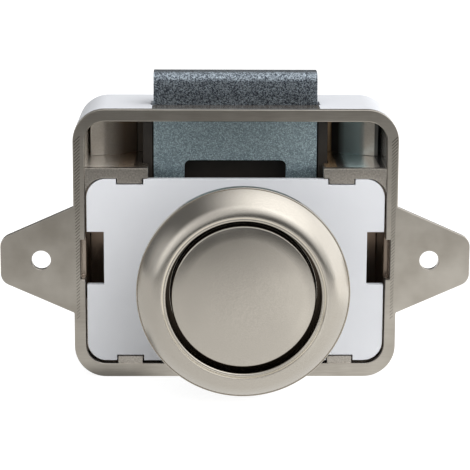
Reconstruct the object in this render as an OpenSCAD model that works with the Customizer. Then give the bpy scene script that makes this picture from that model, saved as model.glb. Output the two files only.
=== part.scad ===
// Push button cabinet lock. A die-cast case is screwed to the inside of a door by two
// ears. A button runs through the door in a sleeve, which a rosette screws on to. A cam
// block on the button draws the steel bolt down through the top of the case.
// X is to the right, Y goes into the cabinet and Z is up. The origin is midway between
// the two ear screw holes, on the face that lies against the door. Sizes are millimetres.
// The lock is drawn shut: button pushed in, bolt up.

/* [Case] */
// Width of the case
case_w = 57; // [56:0.5:62]
// Height of the case's top edge above the screw line
case_rise = 26.8; // [26.8:0.1:28]
// Depth of the case's bottom edge below the screw line
case_drop = 21.2; // [20.6:0.1:25]
// Radius of the case's corners
case_r = 5.6; // [4.6:0.2:6.6]
// Depth inside the tub, from the door face
tub_depth = 18.7; // [18.7:0.1:22]
// Thickness of the tub's back wall
tub_back = 0.9; // [0.8:0.1:1.6]
// Thickness of the flange and the ears
flange_t = 1.5; // [1.3:0.1:2]
// Width of the two side rails
side_rail = 2; // [1.8:0.1:2.4]
// Height of the top rail
top_rail = 2.1; // [1.9:0.1:2.4]
// Height of the bottom rail
bottom_rail = 2.4; // [2:0.1:2.8]
// Wall of the white cover
cover_wall = 1; // [0.8:0.1:1.2]
// Play between the cover and the tub
cover_fit = 0.1; // [0.05:0.05:0.2]
// Radius along the cover's back edge
cover_edge_r = 0.8; // [0.4:0.1:1]

/* [Ears] */
// Distance between the two ear screw holes
screw_span = 68.5; // [67:0.5:74]
// Diameter of an ear screw hole
screw_hole_d = 3.4; // [3:0.1:4.2]
// Width over both ears
ear_span = 82.8; // [81:0.2:88]
// Height of an ear where it leaves the case
ear_root_h = 19.1; // [16:0.1:22]
// Height of an ear at its tip, before the corners are rounded
ear_tip_h = 7.7; // [7:0.1:9]
// Radius of the ear's tip corners
ear_tip_r = 2.2; // [1.5:0.1:2.6]

/* [Shelves and plate] */
// Height of the shelves' underside above the screw line
shelf_z = 14.6; // [14.6:0.1:15.2]
// Thickness of the shelves
shelf_t = 1.8; // [1.3:0.1:2]
// Distance from the middle to a shelf's inner end
shelf_end_x = 15.4; // [15.4:0.1:16]
// Depth of the shelves' front edge behind the door face
shelf_inset = 0.3; // [0.2:0.05:0.6]
// Thickness of the white front plate
plate_t = 1.5; // [1.5:0.1:1.6]
// Depth of the plate's face behind the door face
plate_inset = 0.3; // [0.2:0.05:0.4]
// Gap between the plate and the side rails
plate_side_gap = 0.3; // [0.2:0.05:0.5]
// Gap between the plate and the bottom rail
plate_low_gap = 0.5; // [0.3:0.05:0.8]
// Radius of the plate's corners
plate_r = 3.4; // [2.6:0.2:4]
// Width of a side notch in the plate
notch_w = 3; // [2:0.1:4]
// Height of a side notch in the plate
notch_h = 9.5; // [7.8:0.1:11]
// Height of the notch's middle above the screw line
notch_z = 0.3; // [0:0.1:0.8]
// Height of the pocket that the notch meets in the rail
rail_pocket_h = 7.2; // [5:0.1:7.4]
// Distance from the middle to a holding tab
tab_x = 18.6; // [18:0.1:19.5]
// Width of a holding tab
tab_w = 4.4; // [4:0.1:6]
// Height of a holding tab
tab_h = 0.9; // [0.8:0.1:1.4]

/* [Button and rosette] */
// Distance of the knob's axis to the right of the middle
knob_x = 1; // [0:0.1:1.4]
// Distance of the knob's axis below the screw line
knob_drop = 1.7; // [1.5:0.1:1.9]
// Thickness of the door that the lock is set for
door_t = 16; // [15:0.5:22]
// Diameter of the button
button_d = 24.3; // [23.8:0.1:24.6]
// Travel of the button from pushed in to out
button_stroke = 9; // [8:0.1:9]
// Travel of the button past its latched place
overtravel = 1; // [0.6:0.1:1]
// Thickness of the button's head
button_head_t = 3.3; // [2.8:0.1:3.6]
// Depth of the button's face behind the rosette's lip
button_sink = 0.65; // [0.3:0.05:1]
// Gap round the button at the rosette's lip
button_gap = 0.85; // [0.6:0.05:1]
// Diameter of the rosette
rosette_d = 36; // [34:0.2:40]
// Height of the rosette's crown above the door
crown_rise = 5.9; // [5.6:0.1:6.5]
// Height of the rosette's lip above the door
lip_rise = 5.35; // [5:0.05:5.5]
// Height of the rosette's rim above the door
rim_rise = 2.4; // [1.6:0.1:3]
// Wall of the rosette's spigot
spigot_wall = 0.55; // [0.4:0.05:0.8]
// Length of the spigot inside the door
spigot_l = 3.7; // [3:0.1:5]
// Wall of the sleeve at its front end
sleeve_wall = 0.75; // [0.6:0.05:0.9]
// Thickness of the collar at the sleeve's back end
collar_t = 0.7; // [0.5:0.05:0.8]

/* [Bolt] */
// Width of the bolt
bolt_w = 29; // [28.6:0.1:29]
// Thickness of the bolt's sheet steel
bolt_t = 1.6; // [1.2:0.1:1.6]
// Depth of the bolt's front face behind the door face
bolt_y = 6.4; // [6.4:0.1:6.6]
// Height of the bolt above the case when it is out
bolt_out = 5.7; // [5:0.1:6.2]
// Depth of the bolt's folded nose, front to back
nose_l = 4.6; // [4:0.1:4.6]
// Outer radius of the nose's bend
nose_r = 1.8; // [1.6:0.1:2.4]
// Width of the fork's window
window_w = 18; // [17.6:0.1:18.2]
// Height of the window's top edge above the screw line
window_top = 16.8; // [16.4:0.1:17.2]
// Radius of the window's corners
window_r = 1; // [0.6:0.1:2]
// Height of the fork's ends above the screw line
fork_z = -2; // [-3:0.1:-1.5]
// Way that the bolt moves for each millimetre of the button
bolt_ratio = 0.7333; // [0.6:0.0001:0.7333]

/* [Mechanism] */
// Side of the square cam block on the button
cam_w = 14; // [13.6:0.1:14]
// Diameter of a cam pin
cam_pin_d = 2.5; // [2:0.1:2.5]
// Diameter of a guide rod
rod_d = 2.4; // [2:0.1:2.4]
// Distance from the middle to a guide rod
rod_x = 18; // [17.8:0.1:18.6]
// Wire of a bolt spring
bolt_wire = 0.5; // [0.4:0.05:0.55]
// Turns of a bolt spring
bolt_turns = 12; // [8:1:12]
// Wire of the button spring
button_wire = 0.6; // [0.5:0.05:0.65]
// Turns of the button spring
button_turns = 8; // [6:1:8]
// Angle that the latch follower turns through over the stroke
follower_angle = 12; // [8:0.5:12]
// Length of the latch follower between its pivot and its tip
follower_l = 9.6; // [9:0.1:9.6]
// Play of sliding pieces, a side
slide_fit = 0.2; // [0.15:0.01:0.2]
// Play of a shaft in its bore, on the radius
shaft_fit = 0.08; // [0.03:0.01:0.1]
// Play of a pressed or screwed piece, on the radius
press_fit = 0.02; // [0.01:0.005:0.04]

/* [Hidden] */
$fn = 64;

eps = 0.01;
cut = 1;

nickel = [0.66, 0.64, 0.61];
zinc = [0.62, 0.68, 0.74];
white = [0.93, 0.94, 0.95];
black = [0.09, 0.09, 0.1];
steel = [0.75, 0.75, 0.76];

// Case
case_low = -case_drop;
case_mid = (case_rise + case_low) / 2;
skin = cover_wall + cover_fit;
inner_half = case_w / 2 - side_rail;
inner_r = case_r - side_rail;
ceiling = case_rise - top_rail;
ground = case_low + bottom_rail;
tub_end = tub_depth + tub_back;
cover_end = tub_end + cover_wall;
shelf_gap = 0.1;
pocket_groove = 0.4;
pocket_wall_r = 15.8;
pocket_wall_at = [inner_half + 3.2, tub_depth + 10.4];
rail_pocket_wall = 1.2;
rail_pocket_drop = 0.2;
rail_pocket_y = 4;
pocket_mid = notch_z - rail_pocket_drop;

// Knob axis and depths along it
knob_z = -knob_drop;
knob_at = [knob_x, knob_z];
door_out = -door_t;
lip_y = door_out - lip_rise;
face_y = lip_y + button_sink;
head_back = face_y + button_head_t;
head_play = 0.1;
sleeve_front = head_back + overtravel + head_play;

// Radii round the knob axis
button_r = button_d / 2;
lip_bore = button_r + button_gap;
spigot_bore = button_r + slide_fit;
sleeve_r = spigot_bore + spigot_wall;
tip_fit = 0.1;
sleeve_tip_r = spigot_bore - tip_fit;
sleeve_bore = sleeve_tip_r - sleeve_wall;
collar_step = 0.7;
collar_r = sleeve_r + collar_step;
shoulder_gap = 0.3;
spigot_end = door_out + spigot_l;

// Button cap
skirt_fit = 0.15;
skirt_r = sleeve_bore - skirt_fit;
skirt_wall = 1.15;
skirt_end = -4;
cap_bevel = 0.4;
cap_face_t = 2.6;

// Rosette's section: rim, crown, inner slope, lip bead and hollow back
rim_taper = 0.25;
crown_in = 2.8;
bead_r = 0.35;
valley_w = 0.9;
valley_drop = 0.4;
step_rise = 1.2;
hollow_in = 1.2;
rim_wall = 1.4;
hollow_rise = 2.9;

// Plate
plate_back = plate_inset + plate_t;
plate_low = ground + plate_low_gap;
plate_top_gap = 0.1;
plate_top = shelf_z - plate_top_gap;
plate_mid = (plate_low + plate_top) / 2;
plate_half = inner_half - plate_side_gap;
web_bite = 0.02;
tab_play = 0.2;
tab_notch_h = tab_h + tab_play - plate_top_gap;
ledge_w = 1.6;
ledge_t = 1.4;
ledge_low = plate_low + 1.5;
collar_play = 0.1;
sleeve_play = 0.05;

// Bolt and what it runs in
bolt_half = bolt_w / 2;
bolt_back = bolt_y + bolt_t;
nose_z = case_rise + bolt_out;
nose_end = bolt_y + nose_l;
slot_front = bolt_y - slide_fit;
slot_end_play = 0.3;
slot_back = nose_end + slot_end_play;
slot_side_play = 0.5;
slot_half = bolt_half + slot_side_play;
bridge_play = 0.1;
bridge_half = bolt_half + bridge_play;
bolt_stroke = button_stroke * bolt_ratio;

guide_lip_x = bolt_half + slide_fit;
guide_lip_t = 1.7;
guide_half = guide_lip_x + guide_lip_t;
guide_low = 7;
guide_top = ceiling - slide_fit;
guide_front = bolt_y + slide_fit;
guide_y = nose_end + slide_fit;
guide_t = 1.4;
guide_back = guide_y + guide_t;
guide_screw_x = 11.5;
guide_screw_drop = 3.4;
guide_screw_z = ceiling - guide_screw_drop;
guide_screw_at = [guide_screw_x, guide_screw_z];
guide_screw_d = 2.1;
guide_hole_r = guide_screw_d / 2 + press_fit;
guide_head_d = 4.4;
guide_head_t = 1.2;
guide_post_d = 5;
guide_post_floor = 0.6;
guide_hole_end = tub_depth - guide_post_floor;
guide_tip_gap = 1.1;
guide_tip_y = guide_hole_end - guide_tip_gap;
pad_front = bolt_back + slide_fit;
pad_low = 12.2;
pad_screw_gap = 0.6;
pad_top = guide_screw_z - guide_head_d / 2 - pad_screw_gap;
pad_gap = 0.5;
pad_x = window_w / 2 + pad_gap;

carrier_in = window_w / 2 + slide_fit;
carrier_side = 3.2;
carrier_out = rod_x + carrier_side;
carrier_gap = 0.5;
carrier_y = plate_back + carrier_gap;
carrier_low = -1;
stop_play = 0.25;
carrier_top = shelf_z - overtravel * bolt_ratio - stop_play;
rod_y = (carrier_y + bolt_y) / 2;
rod_socket = 0.8;
rod_boss_d = 4.4;
rod_boss_h = 1.5;
rivet_x = (window_w / 2 + bolt_half) / 2;
rivet_z = 9;
rivet_at = [rivet_x, rivet_z];
rivet_d = 2.5;
rivet_hole_r = rivet_d / 2 + press_fit;
rivet_head_d = 4.2;
rivet_head_t = 0.8;
rivet_front_end = carrier_y + rivet_head_t;

// Cam block
cam_half = cam_w / 2;
cam_front = 0.9;
cam_back = 16.2;
cam_depth = 1.6;
cam_floor = knob_z - cam_half;
pin_r = cam_pin_d / 2;
pin_y = rod_y;
pin_z = 1.65;
pin_end_play = 0.2;
pin_in = cam_half - cam_depth + pin_end_play;
pin_seat = 4;
slot_play = 0.1;
stem_d = 9;
stem_in = 4;
stem_end = door_out + stem_in;
screw_seat = 3.5;
screw_d = 2.4;
screw_in = 3.2;
pilot_in = 5.5;
screw_head_d = 4.6;
screw_head_t = 1.9;
head_bore_play = 0.1;
recess_w = 0.6;
recess_share = 0.6;
pocket_floor = 5.5;
coil_steps = 8;
spring_r = 2.8;
spring_play = 0.5;
pocket_r = spring_r + button_wire / 2 + spring_play;
seat_pin_play = 0.1;
seat_pin_r = spring_r * cos(180 / coil_steps) - button_wire / 2 - seat_pin_play;
seat_pin_l = 1.2;
rod_spring_play = 0.3;

// Latch follower
follower_y = 15;
pivot_at = [0, follower_y];
tip_at = [0, follower_y - follower_l];
follower_t = 1.3;
follower_w = 3;
follower_eye_w = 3.8;
follower_pin_d = 2;
follower_pin_in = 5;
follower_head_d = 3.4;
follower_head_t = 0.5;
follower_play = 0.05;
follower_gap = 0.45;
follower_top = cam_floor - follower_gap - follower_head_t - follower_play;
follower_low = follower_top - follower_t;
post_d = 6;
post_gap = 0.1;
post_top = follower_low - post_gap;
follower_pin_low = post_top - follower_pin_in;
tip_d = 1.4;
tip_end_play = 0.2;
lane_depth = 1.2;
lane_play = 0.3;
lane_w = tip_d + lane_play;
lane_steps = 5;
lane_end_play = 0.1;

// A flat outline in X and Z, drawn out between two depths
module depth(y0, y1) {
    translate([0, y1, 0])
        rotate([90, 0, 0])
            linear_extrude(y1 - y0)
                children();
}

module rod_along_y(r, y0, y1, at = [0, 0]) {
    translate([at[0], y1, at[1]])
        rotate([90, 0, 0])
            cylinder(r = r, h = y1 - y0);
}

module rod_along_z(r, z0, z1, at = [0, 0]) {
    translate([at[0], at[1], z0])
        cylinder(r = r, h = z1 - z0);
}

module rod_along_x(r, x0, x1, at = [0, 0]) {
    translate([x0, at[0], at[1]])
        rotate([0, 90, 0])
            cylinder(r = r, h = x1 - x0);
}

module block(x, y, z) {
    translate([x[0], y[0], z[0]])
        cube([x[1] - x[0], y[1] - y[0], z[1] - z[0]]);
}

module both_sides() {
    children();
    mirror([1, 0, 0])
        children();
}

module side(s) {
    if (s < 0)
        mirror([1, 0, 0])
            children();
    else
        children();
}

module round_rect(w, h, r) {
    square([w - 2 * r, h], center = true);
    square([w, h - 2 * r], center = true);
    for (x = [-1, 1], z = [-1, 1])
        translate([x * (w / 2 - r), z * (h / 2 - r)])
            circle(r = r);
}

// A turned shape on the knob's axis. Its profile is [radius, height towards the viewer].
module turned(y0) {
    translate([knob_x, y0, knob_z])
        rotate([90, 0, 0])
            rotate_extrude()
                children();
}

// Case outline, drawn in by a distance on every side
module case_outline(inset) {
    translate([0, case_mid])
        round_rect(case_w - 2 * inset, case_rise - case_low - 2 * inset, case_r - inset);
}

// Inside of the tub
module tub_outline() {
    translate([0, (ceiling + ground) / 2])
        round_rect(2 * inner_half, ceiling - ground, inner_r);
}

// One ear, whose sloping edges run into round tip corners
module ear_outline() {
    root = [case_w / 2, ear_root_h / 2];
    tip = [ear_span / 2, ear_tip_h / 2];
    run = norm(tip - root);
    out = [root[1] - tip[1], tip[0] - root[0]] / run;
    cx = tip[0] - ear_tip_r;
    cz = root[1] - (ear_tip_r + out[0] * (cx - root[0])) / out[1];
    upper = [
        [case_w / 2 - case_r, root[1]],
        root,
        [cx, cz] + ear_tip_r * out,
        [tip[0], cz],
    ];
    lower = [for (i = [len(upper) - 1:-1:0]) [upper[i][0], -upper[i][1]]];
    difference() {
        union() {
            polygon(concat(upper, lower));
            for (z = [-1, 1])
                translate([cx, z * cz])
                    circle(r = ear_tip_r);
        }
        translate([screw_span / 2, 0])
            circle(d = screw_hole_d);
    }
}

module shelf() {
    z = [shelf_z, shelf_z + shelf_t];
    block([shelf_end_x, inner_half + eps], [shelf_inset, slot_front - slide_fit], z);
    block([guide_half + shelf_gap, inner_half + eps], [shelf_inset, tub_depth + eps], z);
}

// Web that rounds off the corner between a shelf and its rail, beside the plate's corner
module corner_web() {
    middle = [inner_half, shelf_z] - (plate_r - web_bite) * [1, 1];
    depth(shelf_inset, plate_back)
        translate(middle)
            difference() {
                square(plate_r - web_bite + eps);
                circle(r = plate_r);
            }
}

// Curved wall at the back of the space above a shelf, with a groove between it and the rail
module pocket_wall() {
    z = [shelf_z + shelf_t - eps, ceiling + eps];
    intersection() {
        block([guide_half, inner_half - pocket_groove], [shelf_inset, tub_depth + eps], z);
        rod_along_z(pocket_wall_r, z[0], z[1], pocket_wall_at);
    }
}

// Tabs that hold the front plate at its face, and the ledges that it lies back on
module plate_seats() {
    tab = [tab_x - tab_w / 2, tab_x + tab_w / 2];
    block(tab, [plate_inset, plate_back], [shelf_z - tab_h, shelf_z + eps]);
    block(tab, [plate_inset, plate_back], [ground - eps, plate_low + tab_notch_h - tab_play]);
    for (z = [[ledge_low, -rail_pocket_h], [rail_pocket_h, shelf_z + eps]])
        block([inner_half - ledge_w, inner_half + eps], [plate_back, plate_back + ledge_t], z);
}

module frame() {
    color(nickel) {
        difference() {
            union() {
                depth(0, flange_t) {
                    case_outline(0);
                    ear_outline();
                    mirror([1, 0])
                        ear_outline();
                }
                depth(flange_t - eps, tub_end)
                    case_outline(skin);
                block([-bridge_half, bridge_half], [flange_t - eps, slot_front], [ceiling, case_rise]);
            }
            depth(-cut, tub_depth)
                tub_outline();
            block([-slot_half, slot_half], [slot_front, slot_back], [ceiling - cut, case_rise + cut]);
            both_sides()
                block(
                    [inner_half - cut, case_w / 2 - rail_pocket_wall],
                    [-cut, rail_pocket_y],
                    [pocket_mid - rail_pocket_h / 2, pocket_mid + rail_pocket_h / 2]
                );
        }
        difference() {
            both_sides() {
                shelf();
                corner_web();
                pocket_wall();
                plate_seats();
                rod_along_z(rod_boss_d / 2, ground - eps, ground + rod_boss_h, [rod_x, rod_y]);
                rod_along_y(guide_post_d / 2, guide_back, tub_depth + eps, guide_screw_at);
            }
            both_sides() {
                rod_along_z(rod_d / 2 + press_fit, ground, shelf_z + rod_socket, [rod_x, rod_y]);
                rod_along_y(guide_hole_r, guide_back - cut, guide_hole_end, guide_screw_at);
            }
        }
        rod_along_y(seat_pin_r, tub_depth - seat_pin_l, tub_depth + eps, knob_at);
        difference() {
            rod_along_z(post_d / 2, ground - eps, post_top, pivot_at);
            rod_along_z(follower_pin_d / 2 + press_fit, follower_pin_low, post_top + cut, pivot_at);
        }
    }
}

// Cover's outer form. Rods along the back edge and turned corners round it off.
module cover_body() {
    r = cover_edge_r;
    y = cover_end - r;
    half = case_w / 2;
    depth(flange_t, y)
        case_outline(0);
    depth(flange_t, cover_end)
        case_outline(r);
    for (z = [case_low + r, case_rise - r])
        rod_along_x(r, case_r - half, half - case_r, [y, z]);
    for (x = [r - half, half - r])
        rod_along_z(r, case_low + case_r, case_rise - case_r, [x, y]);
    for (x = [case_r - half, half - case_r], z = [case_low + case_r, case_rise - case_r])
        translate([x, y, z])
            rotate([90, 0, 0])
                rotate_extrude()
                    translate([case_r - r, 0])
                        circle(r = r);
}

module back_cover() {
    color(white)
        difference() {
            cover_body();
            depth(-cut, tub_end)
                case_outline(cover_wall);
            block(
                [-bridge_half - cover_fit, bridge_half + cover_fit],
                [-cut, slot_front + eps],
                [ceiling, case_rise + cut]
            );
            block([-slot_half, slot_half], [slot_front, slot_back], [ceiling, case_rise + cut]);
        }
}

module front_plate() {
    color(white)
        difference() {
            depth(plate_inset, plate_back)
                difference() {
                    translate([0, plate_mid])
                        round_rect(2 * plate_half, plate_top - plate_low, plate_r);
                    for (x = [-1, 1]) {
                        translate([x * plate_half, notch_z])
                            square([2 * notch_w, notch_h], center = true);
                        for (z = [plate_low, plate_top])
                            translate([x * tab_x, z])
                                square([tab_w + 2 * tab_play, 2 * tab_notch_h], center = true);
                    }
                    translate(knob_at)
                        circle(r = sleeve_r + sleeve_play);
                }
            rod_along_y(collar_r + collar_play, plate_back - collar_t, plate_back + cut, knob_at);
        }
}

// Tube that the button slides in. Its front end is turned down for the rosette's spigot.
module guide_sleeve() {
    shoulder = -spigot_end - shoulder_gap;
    color(black)
        turned(0)
            difference() {
                union() {
                    translate([0, -plate_back])
                        square([sleeve_r, plate_back + shoulder]);
                    square([sleeve_tip_r, -sleeve_front]);
                    translate([0, -plate_back])
                        square([collar_r, collar_t]);
                }
                translate([-cut, -plate_back - cut])
                    square([sleeve_bore + cut, plate_back - sleeve_front + 2 * cut]);
            }
}

// Half section of the rosette on the knob's axis
module rosette_section() {
    rim_r = rosette_d / 2;
    crown_r = lip_bore + crown_in;
    slope_run = rim_r - rim_taper - crown_r;
    slope_rise = crown_rise - rim_rise;
    valley = [lip_bore + valley_w, lip_rise - valley_drop];
    hollow_r = sleeve_r + hollow_in;
    outer = [for (a = [0:6:90]) [crown_r + slope_run * cos(a), rim_rise + slope_rise * sin(a)]];
    inner = [for (a = [15:15:90]) [
        crown_r - (crown_r - valley[0]) * sin(a),
        valley[1] + (crown_rise - valley[1]) * cos(a),
    ]];
    bead = [for (a = [45:22.5:180]) [lip_bore + bead_r, lip_rise - bead_r] + bead_r * [cos(a), sin(a)]];
    step = [[lip_bore, step_rise], [spigot_bore, step_rise]];
    difference() {
        polygon(concat([[spigot_bore, 0], [rim_r, 0]], outer, inner, bead, step));
        translate([hollow_r, -cut])
            square([rim_r - rim_wall - hollow_r, hollow_rise + cut]);
    }
    translate([spigot_bore, -spigot_l])
        square([spigot_wall, spigot_l + eps]);
}

module rosette() {
    color(nickel)
        turned(door_out)
            rosette_section();
}

module bolt_guide() {
    color(black)
        difference() {
            union() {
                block([-guide_half, guide_half], [guide_y, guide_back], [guide_low, guide_top]);
                both_sides() {
                    block([guide_lip_x, guide_half], [guide_front, guide_y + eps], [guide_low, guide_top]);
                    block([pad_x, guide_lip_x + eps], [pad_front, guide_y + eps], [pad_low, pad_top]);
                }
            }
            both_sides()
                rod_along_y(guide_hole_r, guide_y - cut, guide_back + cut, guide_screw_at);
        }
}

// Cutter for the cross recess in a screw's head, centred on the head's face
module cross_recess(at, y, head_d, head_t) {
    for (turn = [0, 90])
        translate([at[0], y, at[1]])
            rotate([0, turn, 0])
                cube([recess_share * head_d, head_t, recess_w], center = true);
}

module guide_screws() {
    head_front = guide_y - guide_head_t;
    color(steel)
        both_sides()
            difference() {
                union() {
                    rod_along_y(guide_head_d / 2, head_front, guide_y, guide_screw_at);
                    rod_along_y(guide_screw_d / 2, guide_y - eps, guide_tip_y, guide_screw_at);
                }
                cross_recess(guide_screw_at, head_front, guide_head_d, guide_head_t);
            }
}

module guide_rod(s) {
    color(steel)
        side(s)
            rod_along_z(rod_d / 2, ground, shelf_z + rod_socket, [rod_x, rod_y]);
}

// Points round one ring of a coil's wire, at a number of turns along it
function coil_ring(r, wire, pitch, turn, sides) =
    let (
        a = 360 * turn,
        radial = [cos(a), sin(a), 0],
        slope = pitch / (2 * PI * r),
        along = [-sin(a), cos(a), slope] / sqrt(1 + slope * slope),
        up = cross(radial, along),
        centre = [r * cos(a), r * sin(a), pitch * turn]
    )
    [for (k = [0:sides - 1]) centre + wire / 2 * (cos(360 * k / sides) * radial + sin(360 * k / sides) * up)];

// Least distance between two rings that are near one turn apart
function ring_gap(a, b) = min([for (p = a, q = b) norm(p - q)]);

// Open coil along Z, its wire one tube, between two flat seats
module coil(name, r, wire, turns, length) {
    sides = 6;
    pitch = (length - wire) / turns;
    rings = [for (i = [0:turns * coil_steps]) coil_ring(r, wire, pitch, i / coil_steps, sides)];
    n = len(rings);
    walls = [
        for (i = [0:n - 2], k = [0:sides - 1])
            let (a = i * sides + k, b = i * sides + (k + 1) % sides)
                each [[a, b, b + sides], [a, b + sides, a + sides]]
    ];
    caps = [
        for (k = [1:sides - 2])
            each [[0, k + 1, k], [(n - 1) * sides, (n - 1) * sides + k, (n - 1) * sides + k + 1]]
    ];
    gap = min([for (j = [coil_steps - 1:coil_steps + 1]) ring_gap(rings[0], rings[j])]);
    echo(str(name, " spring: least gap between its turns ", gap));
    translate([0, 0, wire / 2])
        polyhedron(points = [for (ring = rings, p = ring) p], faces = concat(walls, caps));
}

module bolt_spring(s) {
    seat = ground + rod_boss_h;
    wound_r = rod_d / 2 + rod_spring_play + bolt_wire / 2;
    color(steel)
        side(s)
            translate([rod_x, rod_y, seat])
                coil("Bolt", wound_r, bolt_wire, bolt_turns, carrier_low - slide_fit - seat);
}

module button_spring() {
    color(steel)
        translate([knob_x, tub_depth, knob_z])
            rotate([90, 0, 0])
                coil("Button", spring_r, button_wire, button_turns, tub_depth - pocket_floor - slide_fit);
}

module follower_pin() {
    head_low = follower_top + follower_play;
    color(steel) {
        rod_along_z(follower_pin_d / 2, follower_pin_low, head_low + eps, pivot_at);
        rod_along_z(follower_head_d / 2, head_low, head_low + follower_head_t, pivot_at);
    }
}

module button_cap() {
    front = -face_y;
    back = -head_back;
    hollow = front - cap_face_t;
    pilot = pilot_in - stem_end;
    color(nickel)
        turned(0)
            difference() {
                union() {
                    polygon([
                        [0, back],
                        [button_r, back],
                        [button_r, front - cap_bevel],
                        [button_r - cap_bevel, front],
                        [0, front],
                    ]);
                    translate([0, -skirt_end])
                        square([skirt_r, back + skirt_end + eps]);
                }
                translate([stem_d / 2, -skirt_end - cut])
                    square([skirt_r - skirt_wall - stem_d / 2, hollow + skirt_end + cut]);
                translate([0, -skirt_end - cut])
                    square([stem_d / 2 + eps, -stem_end + skirt_end + cut]);
                square([screw_d / 2 + press_fit, pilot]);
            }
}

// Place of the follower's tip on the cam block, as the button moves out by a distance
function lane_point(out) =
    let (a = follower_angle * out / button_stroke)
    [follower_l * sin(a), follower_y - follower_l * cos(a) + out];

// Outline of a lane of one width along a row of points
function lane_outline(points) =
    let (
        n = len(points) - 1,
        along = [for (i = [0:n]) points[min(i + 1, n)] - points[max(i - 1, 0)]],
        aside = [for (d = along) lane_w / 2 / norm(d) * [-d[1], d[0]]]
    )
    concat(points + aside, [for (i = [n:-1:0]) points[i] - aside[i]]);

// Box of the track round a lane's end, from one lane to the other
module lane_end(at, margin) {
    reach = abs(at[0]) + lane_w / 2 + margin;
    translate([-reach, at[1] - lane_w / 2])
        square([2 * reach, lane_w]);
}

// Closed track under the cam block: one lane for each way, which meet in the rest notch
module latch_track() {
    run = button_stroke + overtravel;
    points = [for (i = [0:lane_steps]) lane_point(run * i / lane_steps - overtravel)];
    translate([0, 0, cam_floor - cut])
        linear_extrude(lane_depth + cut) {
            both_sides()
                polygon(lane_outline(points));
            lane_end(points[0], lane_end_play);
            lane_end(points[lane_steps], lane_end_play);
        }
}

// Slanting slot that turns the button's travel into the bolt's
module cam_slot() {
    start = [pin_y - overtravel, pin_z + overtravel * bolt_ratio];
    end = [pin_y + button_stroke, pin_z - bolt_stroke];
    run = norm(end - start);
    half = pin_r + slot_play;
    translate([cam_half - cam_depth, start[0], start[1]])
        rotate([atan2(end[1] - start[1], end[0] - start[0]), 0, 0])
            rotate([0, 90, 0]) {
                cylinder(r = half, h = cam_depth + cut);
                translate([0, run, 0])
                    cylinder(r = half, h = cam_depth + cut);
                translate([-half, 0, 0])
                    cube([2 * half, run, cam_depth + cut]);
            }
}

module plunger() {
    color(black)
        difference() {
            union() {
                block([-cam_half, cam_half], [cam_front, cam_back], [cam_floor, knob_z + cam_half]);
                rod_along_y(stem_d / 2, stem_end, cam_front + eps, knob_at);
            }
            both_sides()
                cam_slot();
            latch_track();
            rod_along_y(pocket_r, pocket_floor, cam_back + cut, knob_at);
            rod_along_y(screw_head_d / 2 + head_bore_play, screw_seat, pocket_floor + cut, knob_at);
            rod_along_y(screw_d / 2 + press_fit, stem_end - cut, screw_seat + cut, knob_at);
        }
}

module button_screw() {
    head_end = screw_seat + screw_head_t;
    color(steel)
        difference() {
            union() {
                rod_along_y(screw_head_d / 2, screw_seat, head_end, knob_at);
                rod_along_y(screw_d / 2, stem_end - screw_in, screw_seat + eps, knob_at);
            }
            cross_recess(knob_at, head_end, screw_head_d, screw_head_t);
        }
}

// Side view of the bolt: an upright sheet whose top is folded back
module bolt_section() {
    translate([bolt_y, fork_z])
        square([bolt_t, nose_z - nose_r - fork_z]);
    translate([bolt_y + nose_r, nose_z - bolt_t])
        square([nose_l - nose_r, bolt_t]);
    intersection() {
        translate([bolt_y + nose_r, nose_z - nose_r])
            difference() {
                circle(r = nose_r);
                circle(r = nose_r - bolt_t);
            }
        translate([bolt_y, nose_z - nose_r])
            square([nose_r, nose_r]);
    }
}

module bolt() {
    opening_h = window_top - fork_z;
    color(zinc)
        difference() {
            translate([-bolt_half, 0, 0])
                rotate([90, 0, 90])
                    linear_extrude(bolt_w)
                        bolt_section();
            depth(bolt_y - cut, bolt_back + cut)
                union() {
                    translate([0, window_top - opening_h / 2])
                        round_rect(window_w, opening_h, window_r);
                    translate([-window_w / 2, fork_z - cut])
                        square([window_w, opening_h / 2]);
                }
            both_sides()
                rod_along_y(rivet_hole_r, bolt_y - cut, bolt_back + cut, rivet_at);
        }
}

// Block on a leg of the bolt. It slides on the guide rod and holds the cam pin.
module carrier(s) {
    color(black)
        side(s)
            difference() {
                block([carrier_in, carrier_out], [carrier_y, bolt_y], [carrier_low, carrier_top]);
                rod_along_z(rod_d / 2 + shaft_fit, carrier_low - cut, carrier_top + cut, [rod_x, rod_y]);
                rod_along_x(pin_r + press_fit, carrier_in - cut, carrier_in + pin_seat, [pin_y, pin_z]);
                rod_along_y(rivet_hole_r, carrier_y - cut, bolt_y + cut, rivet_at);
                rod_along_y(rivet_head_d / 2 + head_bore_play, carrier_y - cut, rivet_front_end, rivet_at);
            }
}

module cam_pin(s) {
    color(steel)
        side(s)
            rod_along_x(pin_r, pin_in, carrier_in + pin_seat, [pin_y, pin_z]);
}

module rivets() {
    color(steel)
        both_sides() {
            rod_along_y(rivet_head_d / 2, carrier_y, rivet_front_end, rivet_at);
            rod_along_y(rivet_d / 2, rivet_front_end - eps, bolt_back + eps, rivet_at);
            rod_along_y(rivet_head_d / 2, bolt_back, bolt_back + rivet_head_t, rivet_at);
        }
}

module follower_lever() {
    z = [follower_low, follower_top];
    color(steel)
        difference() {
            union() {
                rod_along_z(follower_eye_w / 2, z[0], z[1], pivot_at);
                rod_along_z(follower_w / 2, z[0], z[1], tip_at);
                block([-follower_w / 2, follower_w / 2], [tip_at[1], follower_y], z);
            }
            rod_along_z(follower_pin_d / 2 + shaft_fit, z[0] - cut, z[1] + cut, pivot_at);
            rod_along_z(tip_d / 2 + press_fit, z[0] - cut, z[1] + cut, tip_at);
        }
}

module follower_tip_pin() {
    color(steel)
        rod_along_z(tip_d / 2, follower_low, cam_floor + lane_depth - tip_end_play, tip_at);
}

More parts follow.
